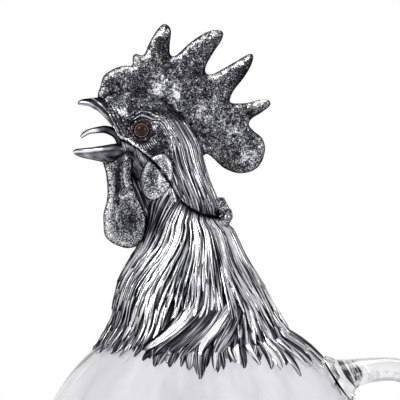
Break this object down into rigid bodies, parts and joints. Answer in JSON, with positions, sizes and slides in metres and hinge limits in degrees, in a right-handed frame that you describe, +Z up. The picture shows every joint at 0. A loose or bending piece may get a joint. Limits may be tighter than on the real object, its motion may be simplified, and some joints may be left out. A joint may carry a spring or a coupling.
{
  "type": "rooster-headed glass pitcher",
  "caption": "Clear glass globe jug with a looped glass handle and a cast rooster's neck and head, which hinges open as the lid.",
  "frame": {"origin": "centre of the flat foot that the jug rests on", "axes": "+Z up, -X towards the beak, +X towards the handle"},
  "size_m": [0.2153, 0.171, 0.304],
  "materials": {
    "clear_glass": "blown",
    "oxidised_silver": "cast and oxidised, polished on its ridges",
    "dark_silver": "cast, pebbled and oxidised",
    "plaster": "matt",
    "eye_glass": "polished"
  },
  "bodies": {
    "jug": {"glass_body": "clear_glass", "glass_handle": "clear_glass", "neck_cement": "plaster", "throat_liner": "oxidised_silver", "hackle_collar": "oxidised_silver", "lower_beak": "oxidised_silver", "tongue": "dark_silver", "wattle_left": "dark_silver", "wattle_right": "dark_silver", "ear_lobe_left": "dark_silver", "ear_lobe_right": "dark_silver", "collar_hinge_lugs": "oxidised_silver", "hinge_pin": "dark_silver", "pin_ball_left": "oxidised_silver", "pin_ball_right": "oxidised_silver"},
    "head_lid": {"head_shell": "oxidised_silver", "comb": "dark_silver", "upper_beak": "oxidised_silver", "eye_left": "eye_glass", "eye_right": "eye_glass", "eye_bezel_left": "oxidised_silver", "eye_bezel_right": "oxidised_silver", "ear_lobe_upper_left": "dark_silver", "ear_lobe_upper_right": "dark_silver", "lid_hinge_lugs": "oxidised_silver"}
  },
  "joints": [
    {"name": "lid_hinge", "type": "hinge", "parent": "jug", "child": "head_lid", "pos_m": [0.0118, 0, 0.2085], "axis": [0, 1, 0], "range_deg": [0, 90]}
  ]
}
